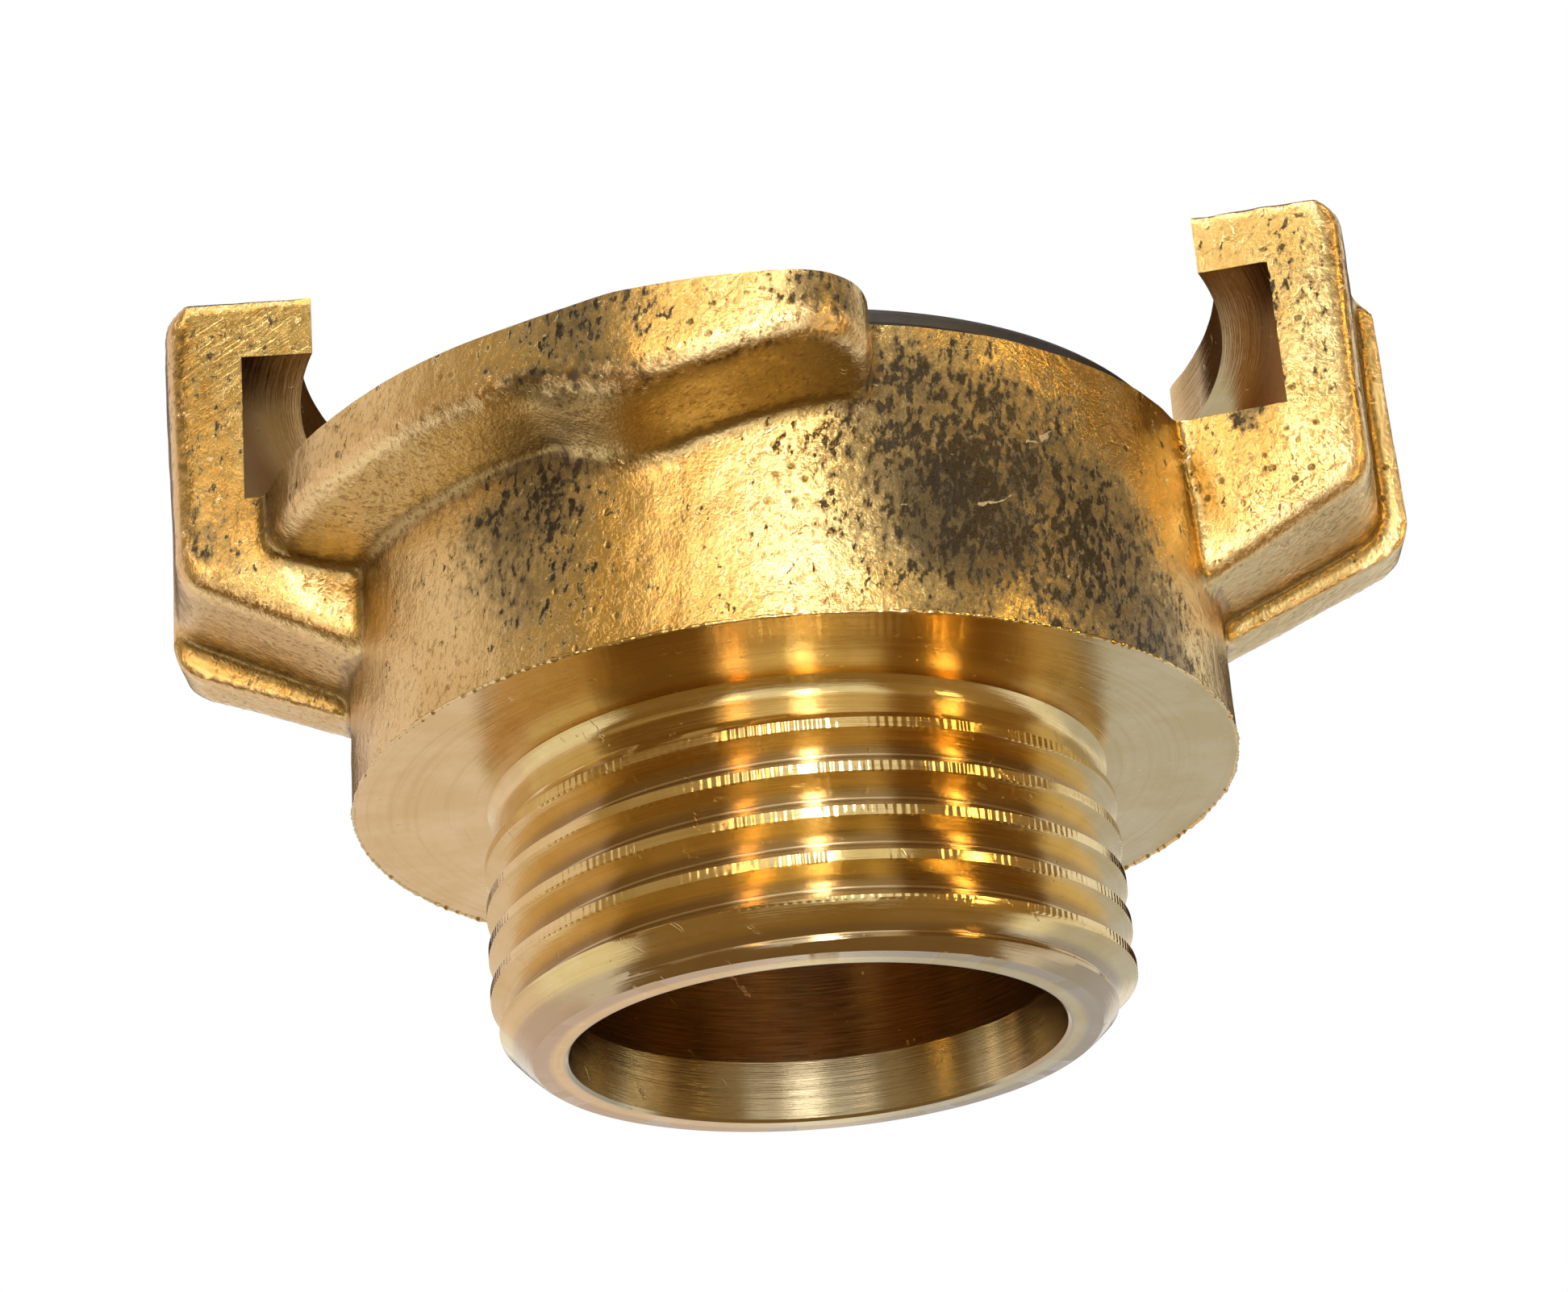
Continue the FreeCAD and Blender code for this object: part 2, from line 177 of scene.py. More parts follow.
def smooth_faces(bm, sharp=None):
    """Outward and smooth faces, with sharp edges where they meet at more than an angle."""
    bmesh.ops.recalc_face_normals(bm, faces=bm.faces)
    for face in bm.faces:
        face.smooth = True
    if sharp is not None:
        for edge in bm.edges:
            if len(edge.link_faces) == 2 and edge.calc_face_angle(0.0) > sharp:
                edge.smooth = False


def claw_corners(bm):
    """The corners of the claws' forged sides, without the flash land between them."""
    corners = []
    for vert in bm.verts:
        x, y, _ = vert.co
        half = CLAW_HALF + (abs(x) - COLLAR) * math.tan(CLAW_FLARE) + 0.05
        if abs(x) > COLLAR + 0.2 and LAND_HALF + 0.05 < abs(y) < half:
            corners.append(vert.co.copy())
    return corners


def fill_claw(bm, corners, side):
    """Fill one claw's notch and foot: a hull of its corners, and of some of them moved inwards."""
    own = [p for p in corners if p.x * side > 0]
    inward = []
    for p in own:
        near_tip = p.z > NOTCH_TOP - 0.2 and math.hypot(p.x, p.y) < TIP + 0.3
        near_rim = RIM - 1.0 < p.z < RIM + 0.3
        if near_tip or near_rim:
            inward.append(Vector((p.x - side * CLAW_STOCK, p.y, p.z)))
    hull = bmesh.ops.convex_hull(bm, input=[bm.verts.new(p) for p in own + inward])
    bmesh.ops.delete(bm, geom=vertices_in(hull["geom_interior"]), context="VERTS")


def forged_blank():
    """The forging before the lathe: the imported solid, filled where the lathe cuts it away, with
    rounded edges and an uneven skin."""
    bm = bmesh.new()
    bm.from_mesh(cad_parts["coupling_body"].data)
    bmesh.ops.scale(bm, vec=(1 / MM,) * 3, verts=bm.verts)
    bmesh.ops.remove_doubles(bm, verts=bm.verts, dist=1e-3)
    corners = claw_corners(bm)

    rim = [face for face in bm.faces
           if face.normal.z > 0.999 and abs(face.calc_center_median().z - RIM) < 0.02]
    raised = bmesh.ops.extrude_face_region(bm, geom=rim)["geom"]
    bmesh.ops.translate(bm, vec=(0, 0, RIM_STOCK), verts=vertices_in(raised))

    low, high = SPIGOT_LENGTH - SHOULDER_STOCK, RIM + RIM_STOCK
    bmesh.ops.create_cone(bm, cap_ends=True, segments=PLUG_STEPS, radius1=COLLAR, radius2=COLLAR,
                          depth=high - low, matrix=Matrix.Translation((0, 0, (low + high) / 2)))
    for side in (1, -1):
        fill_claw(bm, corners, side)

    obj = object_of("brass_collar", bm)
    remesh = obj.modifiers.new("grain", "REMESH")
    remesh.mode = "VOXEL"
    remesh.voxel_size = VOXEL
    smooth = obj.modifiers.new("rounding", "SMOOTH")
    smooth.factor = 0.5
    smooth.iterations = BLANK_ROUNDS
    apply_modifiers(obj)
    soften_ramps(obj.data)
    mark_edges(obj.data)
    roughen(obj.data)
    return obj


def vertex_rows(mesh, kind):
    """A property of the vertices that has three numbers, as rows of an array."""
    rows = np.empty(len(mesh.vertices) * 3)
    mesh.vertices.foreach_get(kind, rows)
    return rows.reshape(-1, 3)


def move_vertices(mesh, places):
    """Put the vertices at the rows' places."""
    mesh.vertices.foreach_set("co", places.ravel())
    mesh.update()


def averaging(mesh):
    """A function that gives the mean place of each vertex's neighbours."""
    count = len(mesh.vertices)
    ends = np.empty(len(mesh.edges) * 2, np.int32)
    mesh.edges.foreach_get("vertices", ends)
    first = np.concatenate((ends[0::2], ends[1::2]))
    second = np.concatenate((ends[1::2], ends[0::2]))
    degree = np.maximum(np.bincount(first, minlength=count), 1)

    def mean(places):
        columns = [np.bincount(first, places[second, k], count) / degree for k in range(3)]
        return np.stack(columns, axis=1)

    return mean


def soften_ramps(mesh):
    """Round the skin more where the lugs' ramps climb."""
    places = vertex_rows(mesh, "co")
    mean = averaging(mesh)
    weight = np.zeros(len(places))
    for centre, full, outer in RAMP_STEPS:
        away = np.linalg.norm(places - np.array(centre), axis=1)
        weight = np.maximum(weight, np.clip((outer - away) / (outer - full), 0.0, 1.0))
    for _ in range(RAMP_ROUNDS):
        places += 0.5 * weight[:, None] * (mean(places) - places)
    move_vertices(mesh, places)


def mark_edges(mesh):
    """Keep on each vertex how far it stands out of its neighbourhood, in millimetres: above 0 on
    outer edges, below 0 in hollows."""
    places = vertex_rows(mesh, "co")
    mean = averaging(mesh)
    spread = places
    for _ in range(EDGE_ROUNDS):
        spread = mean(spread)
    stand = ((places - spread) * vertex_rows(mesh, "normal")).sum(axis=1)
    layer = mesh.attributes.new("stand", "FLOAT", "POINT")
    layer.data.foreach_set("value", stand.astype(np.float32))


def roughen(mesh):
    """Push the skin in and out a little, as a forging's is."""
    places = vertex_rows(mesh, "co").astype(np.float32)
    normals = vertex_rows(mesh, "normal").astype(np.float32)
    push = np.empty(len(places), np.float32)
    for i, place in enumerate(places):
        p = Vector(place)
        push[i] = sum(height * noise.noise(p * pace + shift) for height, pace, shift in SKIN_WAVES)
    places += normals * push[:, None]
    move_vertices(mesh, places)


def lathe_cutter():
    """A closed solid turned from the profile that the lathe cuts."""
    bm = bmesh.new()
    rings = [ring(bm, radius, level, LATHE_STEPS if radius else 1) for radius, level in CUT]
    for low, high in zip(rings, rings[1:]):
        if len(low) == len(high):
            band(bm, low, high)
            continue
        for i in range(LATHE_STEPS):
            j = (i + 1) % LATHE_STEPS
            if len(low) == 1:
                bm.faces.new((low[0], high[j], high[i]))
            else:
                bm.faces.new((low[i], low[j], high[0]))
    bmesh.ops.recalc_face_normals(bm, faces=bm.faces)
    return object_of("cutter", bm)


def cut(obj, tool):
    """Take the tool out of the object, then drop the tool."""
    change = obj.modifiers.new("cut", "BOOLEAN")
    change.operation = "DIFFERENCE"
    change.object = tool
    change.solver = "MANIFOLD"
    apply_modifiers(obj)
    mesh = tool.data
    bpy.data.objects.remove(tool)
    bpy.data.meshes.remove(mesh)


FORGED, FLAT, ROUND = 0, 1, 2
TURNED_EDGE = math.radians(20.0)
FORGED_EDGE = math.radians(50.0)


def cut_kind(centre, normal):
    """What a face of the body is: forged, turned flat or turned round."""
    radius = math.hypot(centre.x, centre.y)
    for (r0, z0), (r1, z1) in zip(CUT, CUT[1:]):
        if z0 == z1:
            low, high = sorted((r0, r1))
            inside = low - 0.05 < radius < high + 0.05
            if inside and abs(centre.z - z0) < 0.01 and abs(normal.z) > 0.99:
                return FLAT
        else:
            low, high = sorted((z0, z1))
            inside = low - 0.05 < centre.z < high + 0.05
            if inside and abs(radius - r0) < 0.03 and abs(normal.z) < 0.05:
                return ROUND
    return FORGED


def sharpen_borders(bm, kinds):
    """Sharp edges round the turned faces, and at the forging's few real corners."""
    bm.faces.index_update()
    for edge in bm.edges:
        if len(edge.link_faces) != 2:
            continue
        one, other = (kinds[face.index] for face in edge.link_faces)
        limit = TURNED_EDGE if one else FORGED_EDGE
        if one != other or edge.calc_face_angle(0.0) > limit:
            edge.smooth = False


def true_normals(mesh, kinds):
    """The exact normals of the turned faces, corner by corner. The forged faces keep their own."""
    normals = []
    for poly in mesh.polygons:
        kind = kinds[poly.index]
        for i in poly.vertices:
            if kind == ROUND:
                place = mesh.vertices[i].co
                out = Vector((place.x, place.y, 0)).normalized()
                normals.append(out if out.dot(poly.normal) > 0 else -out)
            elif kind == FLAT:
                normals.append(Vector((0, 0, 1 if poly.normal.z > 0 else -1)))
            else:
                normals.append(Vector((0, 0, 0)))
    mesh.normals_split_custom_set(normals)


def shade_turned(obj, materials):
    """The second material, true normals and sharp borders for the turned faces."""
    mesh = obj.data
    bm = bmesh.new()
    bm.from_mesh(mesh)
    bmesh.ops.remove_doubles(bm, verts=bm.verts, dist=2e-4)
    bmesh.ops.dissolve_degenerate(bm, edges=bm.edges, dist=1e-4)
    bmesh.ops.triangulate(bm, faces=[face for face in bm.faces if len(face.verts) > 4])
    bm.normal_update()
    kinds = [cut_kind(face.calc_center_median(), face.normal) for face in bm.faces]
    for face in bm.faces:
        face.smooth = True
    sharpen_borders(bm, kinds)
    bm.to_mesh(mesh)
    bm.free()
    true_normals(mesh, kinds)
    mesh.materials.clear()
    for material in materials:
        mesh.materials.append(material)
    mesh.polygons.foreach_set("material_index", [0 if kind == FORGED else 1 for kind in kinds])
    mesh.update()


def thread_radius(phase):
    """The full thread's radius at a share of the pitch from a crest's middle, 0 to 1."""
    off = abs(phase - round(phase)) * PITCH
    flat = CREST_FLAT / 2
    if off <= flat:
        return CREST
    bend = PITCH / 2 - flat - (CREST - ROOT) * math.tan(FLANK) + ROOT_ROUND
    bend_start = PITCH / 2 - bend
    if off > bend_start:
        share = (off - bend_start) / bend
        start = CREST - (bend_start - flat) / math.tan(FLANK)
        return start + (ROOT - start) * (1 - (1 - share) ** 2)
    return max(CREST - (off - flat) / math.tan(FLANK), ROOT)


def outline_radius(z):
    """The turned blank that the thread is cut in."""
    if z < LEAD_LENGTH:
        share = z / LEAD_LENGTH
        return LEAD_RADIUS + (CREST - LEAD_RADIUS) * share ** LEAD_BEND
    if z < NECK_LOW - RUNOUT:
        return CREST
    if z < NECK_LOW:
        return CREST + (NECK - CREST) * (z - NECK_LOW + RUNOUT) / RUNOUT
    if z < NECK_HIGH:
        return NECK
    share = (z - NECK_HIGH) / (SPIGOT_LENGTH - NECK_HIGH)
    return NECK + (SHOULDER_ROUND - NECK) * share ** SHOULDER_BEND


def helix_marks():
    """Shares of the pitch at which the rows of a turn lie: crest, flank, root, flank."""
    flat = CREST_FLAT / 2 / PITCH
    drop = (CREST - ROOT) * math.tan(FLANK) / PITCH
    down = (0.08, 0.3, 0.6, 0.85)
    marks = [-flat, -flat * 0.4, flat * 0.4, flat]
    marks += [flat + drop * share for share in down]
    marks += [0.5 - 0.03, 0.5, 0.5 + 0.03]
    marks += [1 - flat - drop * share for share in reversed(down)]
    return marks


def helix_row(bm, height):
    """A row of vertices that climbs a pitch in one turn and is cut off at the spigot's ends."""
    row = []
    for i in range(THREAD_STEPS + 1):
        share = i / THREAD_STEPS - 0.5
        climb = share - PHASE_TURN
        level = min(max(PHASE_Z + PITCH * (height + climb), 0.0), SPIGOT_LENGTH)
        phase = (level - PHASE_Z) / PITCH - climb
        outline = outline_radius(level)
        radius = min(thread_radius(phase), outline)
        fade = min(max((level - NECK_LOW + RUNOUT) / RUNOUT, 0.0), 1.0)
        radius += (outline - radius) * fade
        angle = 2 * math.pi * share
        row.append(bm.verts.new((radius * math.cos(angle), radius * math.sin(angle), level)))
    return row


def threaded_spigot():
    """The spigot as one net of rows that climb with the helix, so that the crests stay crisp. The
    end face, the bore and the top close the net."""
    bm = bmesh.new()
    rows = [helix_row(bm, turn + mark) for turn in range(-5, 5) for mark in helix_marks()]
    for low, high in zip(rows, rows[1:]):
        for i in range(THREAD_STEPS):
            corners = (low[i], low[i + 1], high[i + 1], high[i])
            if len({tuple(corner.co) for corner in corners}) > 2:
                bm.faces.new(corners)
    bmesh.ops.remove_doubles(bm, verts=bm.verts, dist=1e-4)
    bmesh.ops.dissolve_degenerate(bm, edges=bm.edges, dist=1e-4)

    inner = ((LEAD_RADIUS, 0.0), (BORE + BORE_EDGE, 0.0), (BORE, BORE_EDGE),
             (BORE, SPIGOT_LENGTH), (SHOULDER_ROUND, SPIGOT_LENGTH))
    rings = [ring(bm, radius, level, THREAD_STEPS, -0.5) for radius, level in inner]
    for low, high in zip(rings, rings[1:]):
        band(bm, low, high)
    bmesh.ops.remove_doubles(bm, verts=bm.verts, dist=2e-3)
    smooth_faces(bm, math.radians(28.0))
    return object_of("brass_thread", bm)


def collar_edge(mesh):
    """The collar's lower edge: numbers of its bins round the turn, and the radius in each."""
    places = vertex_rows(mesh, "co")
    radius = np.hypot(places[:, 0], places[:, 1])
    rim = (abs(places[:, 2] - SPIGOT_LENGTH) < 0.02) & (radius > COLLAR - 2.0)
    turn = np.arctan2(places[rim, 1], places[rim, 0])
    bins = np.floor((turn + math.pi) / (2 * math.pi) * RIM_BINS).astype(int) % RIM_BINS
    edge = np.zeros(RIM_BINS)
    np.maximum.at(edge, bins, radius[rim])
    known = np.nonzero(edge)[0]
    return known, edge[known]


def shoulder_burr(body):
    """The fine uneven burr that turning the shoulder left along the collar's lower edge."""
    known, edge = collar_edge(body.data)
    bm = bmesh.new()
    rings = []
    for i in range(BURR_STEPS):
        share = i / BURR_STEPS
        angle = 2 * math.pi * share - math.pi
        out = np.interp(share * RIM_BINS - 0.5, known, edge, period=RIM_BINS)
        p = Vector((math.cos(angle), math.sin(angle), 0.0)) * out
        thick = max(0.070 + 0.050 * noise.noise(p * 0.9) + 0.060 * noise.noise(p * 3.7), 0.022)
        sag = 0.03 * noise.noise(p * 2.1 + Vector((4.0, 0.0, 2.0)))
        section = []
        for k in range(BURR_SIDES):
            lean = 2 * math.pi * k / BURR_SIDES
            reach = out - 0.035 + thick * math.cos(lean)
            level = SPIGOT_LENGTH + 0.01 + sag + thick * math.sin(lean)
            place = (reach * math.cos(angle), reach * math.sin(angle), level)
            section.append(bm.verts.new(place))
        rings.append(section)
    for low, high in zip(rings, rings[1:] + rings[:1]):
        band(bm, low, high)
    smooth_faces(bm)
    return object_of("brass_burr", bm)


def rubber_seal():
    """The seal as a turned ring with the mould's soft edges and a parting line round its head."""
    low = RECESS_FLOOR
    plug = RECESS - 0.05
    hole = 10.8
    over = RECESS + 1.0
    top = 24.55
    lip = 25.0
    profile = (
        (hole, low), (plug - 0.2, low), (plug, low + 0.2),
        (plug, 19.75), (plug + 0.35, 19.75), (plug + 0.5, 19.95), (plug + 0.5, 21.25),
        (plug + 0.35, 21.45), (plug, 21.45), (plug, RIM), (over - 0.12, RIM),
        (over, RIM + 0.12), (over, 23.80), (over + 0.035, 23.86), (over, 23.92),
        (over, top - 0.30), (over - 0.04, top - 0.15), (over - 0.15, top - 0.04),
        (over - 0.30, top), (14.95, top), (14.82, top + 0.05), (14.78, top + 0.15),
        (14.70, lip - 0.12), (14.55, lip - 0.03), (14.35, lip), (13.35, lip),
        (13.15, lip - 0.03), (13.02, lip - 0.12), (12.96, top + 0.15), (12.90, top + 0.05),
        (12.75, top), (11.1, top), (10.9, top - 0.06), (hole, top - 0.25),
    )
    bm = bmesh.new()
    rings = [ring(bm, radius, level, SEAL_STEPS) for radius, level in profile]
    for lower, upper in zip(rings, rings[1:] + rings[:1]):
        band(bm, lower, upper)
    smooth_faces(bm, math.radians(50.0))
    return object_of("rubber_seal", bm)


class Tree:
    """A short way to write the nodes of a material or a world."""

    def __init__(self, owner):
        self.owner = owner
        owner.use_nodes = True
        self.nodes = owner.node_tree.nodes
        self.links = owner.node_tree.links
        self.nodes.clear()

    def put(self, socket, value):
        """Link a node or a socket to a socket, or set a constant on it."""
        if isinstance(value, bpy.types.NodeSocket):
            self.links.new(value, socket)
        elif isinstance(value, bpy.types.Node):
            self.links.new(value.outputs[0], socket)
        else:
            socket.default_value = value

    def add(self, kind, inputs=None, **settings):
        """A new node with its inputs and settings."""
        node = self.nodes.new(kind)
        for key, value in settings.items():
            setattr(node, key, value)
        for key, value in (inputs or {}).items():
            self.put(node.inputs[key], value)
        return node

    def finish(self, shader, kind="ShaderNodeOutputMaterial"):
        """Put the shader on the output, and give the material or the world."""
        self.add(kind, {0: shader})
        return self.owner

    def math(self, operation, a, b=0.0):
        """Arithmetic with one or two numbers."""
        return self.add("ShaderNodeMath", {0: a, 1: b}, operation=operation).outputs[0]

    def vector(self, operation, a, b):
        """Vector arithmetic. A plain number is the factor of a scaling."""
        inputs = {0: a, 3: b} if operation == "SCALE" else {0: a, 1: b}
        return self.add("ShaderNodeVectorMath", inputs, operation=operation).outputs[0]

    def length(self, a, b=(0.0, 0.0, 0.0)):
        """The distance between two places."""
        node = self.add("ShaderNodeVectorMath", {0: a, 1: b}, operation="DISTANCE")
        return node.outputs["Value"]

    def times(self, first, *others):
        """The product of several numbers."""
        for other in others:
            first = self.math("MULTIPLY", first, other)
        return first

    def plus(self, first, *others):
        """The sum of several numbers."""
        for other in others:
            first = self.math("ADD", first, other)
        return first

    def weighted(self, *parts):
        """The sum of values, each times its weight."""
        return self.plus(*(self.times(value, weight) for value, weight in parts))

    def without(self, value, most=1.0):
        """What a value leaves of the most."""
        return self.math("SUBTRACT", most, value)

    def swing(self, value, size):
        """A value from 0 to 1 as a swing to both sides of 0."""
        return self.times(self.math("SUBTRACT", value, 0.5), size)

    def ramp(self, value, low, high, to_low=0.0, to_high=1.0):
        """A smooth step of the value from low to high."""
        inputs = {0: value, 1: low, 2: high, 3: to_low, 4: to_high}
        node = self.add("ShaderNodeMapRange", inputs, interpolation_type="SMOOTHSTEP")
        return node.outputs[0]

    def noise(self, where, scale, detail, rough, output="Fac"):
        """Cloudy noise, of about so many blots in a millimetre."""
        inputs = {"Vector": where, "Scale": scale, "Detail": detail, "Roughness": rough}
        return self.add("ShaderNodeTexNoise", inputs).outputs[output]

    def cells(self, where, scale, feature):
        """The distance that a cell pattern gives, to the cells' points or to their borders."""
        inputs = {"Vector": where, "Scale": scale}
        return self.add("ShaderNodeTexVoronoi", inputs, feature=feature).outputs["Distance"]

    def mix(self, share, a, b):
        """One colour over another."""
        node = self.add("ShaderNodeMix", data_type="RGBA")
        for index, value in ((0, share), (6, a), (7, b)):
            self.put(node.inputs[index], value)
        return node.outputs[2]

    def layers(self, colour, *coats):
        """Coats over a colour, each a share, its amount and the coat's colour."""
        for share, amount, coat in coats:
            colour = self.mix(self.times(share, amount), colour, coat)
        return colour

    def part(self, vector, index):
        """One number of a vector."""
        return self.add("ShaderNodeSeparateXYZ", {0: vector}).outputs[index]

    def millimetres(self):
        """Object coordinates, in millimetres."""
        places = self.add("ShaderNodeTexCoord").outputs["Object"]
        return self.vector("SCALE", places, 1 / MM)

    def stretched(self, where, turn, lengths):
        """Coordinates for marks that are as long along three turned axes as the lengths say."""
        inputs = {"Vector": where, "Rotation": turn, "Scale": lengths}
        return self.add("ShaderNodeMapping", inputs, vector_type="TEXTURE").outputs[0]

    def bent(self, where, scale, reach):
        """Coordinates pushed about by noise, for uneven borders."""
        push = self.noise(where, scale, 4.0, 0.6, output="Color")
        push = self.vector("SUBTRACT", push, (0.5, 0.5, 0.5))
        return self.vector("ADD", where, self.vector("SCALE", push, reach))

    def near(self, where, centre, reach):
        """1 at a place, falling to 0 at the reach from it."""
        return self.ramp(self.length(where, centre), 0.0, reach, 1.0, 0.0)

    def most(self, where, spots):
        """The strongest of several places, each a centre, a reach and an amount."""
        found = 0.0
        for centre, reach, amount in spots:
            spot = self.times(self.near(where, centre, reach), amount)
            found = self.math("MAXIMUM", found, spot)
        return found

    def scratches(self, where, turn, length):
        """A few thin handling marks."""
        line = self.stretched(self.bent(where, 0.3, 2.0), turn, (length, 0.5, 0.5))
        return self.ramp(self.noise(line, 1.1, 2.0, 0.5), 0.70, 0.735)

    def bump(self, height, depth, strength):
        """A normal from a height, whose depth is in millimetres."""
        inputs = {"Strength": strength, "Distance": depth * MM, "Height": height}
        return self.add("ShaderNodeBump", inputs)


def rgb(red, green, blue):
    """A linear colour from the three values that a picture shows, 0 to 255."""
    def linear(value):
        value /= 255.0
        return value / 12.92 if value <= 0.04045 else ((value + 0.055) / 1.055) ** 2.4

    return linear(red), linear(green), linear(blue), 1.0


# Where the forging is tarnished: centre, reach and amount. The back's places are guesses.
VEIL = (
    ((8.0, -16.8, 17.0), 9.5, 1.0),
    ((12.0, -14.2, 14.6), 7.5, 1.0),
    ((14.0, -12.4, 11.5), 6.5, 0.8),
    ((5.4, -17.7, 20.0), 5.5, 0.8),
    ((-8.9, -16.3, 18.2), 4.8, 0.72),
    ((-10.4, -15.4, 16.6), 4.6, 0.62),
    ((-9.2, -16.0, 14.2), 4.4, 0.50),
    ((-22.5, -8.8, 28.5), 9.0, 0.22),
    ((-23.9, -8.6, 21.4), 3.0, 0.60),
    ((-6.6, -21.2, 22.6), 5.5, 0.60),
    ((-9.6, -20.0, 19.8), 3.8, 0.62),
    ((-6.4, -21.3, 19.6), 3.6, 0.62),
    ((2.4, -22.1, 22.2), 3.6, 0.66),
    ((20.0, -8.6, 23.6), 2.2, 0.60),
    ((7.0, -17.0, 12.0), 5.0, 0.6),
    ((24.4, -8.5, 28.0), 8.0, 0.32),
    ((0.0, 18.5, 17.0), 12.0, 0.60),
    ((12.0, 14.5, 13.0), 9.0, 0.60),
    ((-14.0, 12.0, 19.0), 9.0, 0.50),
    ((-24.5, 6.0, 24.0), 7.0, 0.45),
)

# The darkest of the tarnish
SMUDGE = (
    ((7.4, -17.0, 14.9), 5.2, 1.0),
    ((9.8, -15.8, 17.0), 3.6, 0.6),
    ((-3.0, 18.3, 15.0), 5.0, 0.5),
)

# The claws' dull olive sides
SHADE = (
    ((-22.5, -8.8, 31.0), 13.0, 1.0),
    ((-22.5, -8.8, 24.0), 9.0, 0.8),
    ((-24.0, -8.8, 19.5), 5.0, 0.5),
    ((21.5, -8.8, 29.0), 12.0, 0.34),
    ((24.5, 8.8, 29.0), 12.0, 0.4),
    ((-24.5, 8.8, 27.0), 12.0, 0.34),
)

# Painted shade on the down-facing lower edges of both lugs
LUG_PAINTED_SHADE = (
    ((-12.0, -18.5, 19.0), 4.5, 0.8),
    ((-8.5, -20.5, 19.3), 4.5, 1.0),
    ((-4.5, -21.4, 20.0), 4.5, 1.0),
    ((-0.5, -21.8, 20.6), 4.5, 1.0),
    ((3.5, -21.6, 20.6), 4.5, 1.0),
    ((6.0, -21.0, 20.6), 4.0, 0.9),
    ((12.0, 18.5, 19.0), 4.5, 0.8),
    ((6.5, 21.0, 19.6), 6.0, 0.9),
    ((-1.0, 21.8, 20.6), 6.0, 0.9),
)

# The dark strip on the right claw's outer edge
STRIP = (
    ((26.6, -7.6, 21.0), 2.6, 0.8),
    ((26.6, -7.6, 24.0), 2.6, 1.0),
    ((26.4, -7.6, 27.0), 2.6, 1.0),
    ((26.2, -7.6, 30.0), 2.6, 1.0),
    ((26.0, -7.6, 32.5), 2.6, 0.8),
)

# Saw marks on the claws, brush marks on the collar, and the fine cracks by the right claw's foot
SAWN = (((-22.5, -8.9, 31.0), 7.0, 1.0), ((22.5, 8.9, 31.0), 7.0, 0.8))
BRUSHED = (((11.5, -14.5, 15.0), 8.0, 1.0), ((1.0, -18.5, 18.0), 7.0, 0.7))
CRACKED = ((22.0, -8.0, 19.0), 4.5)


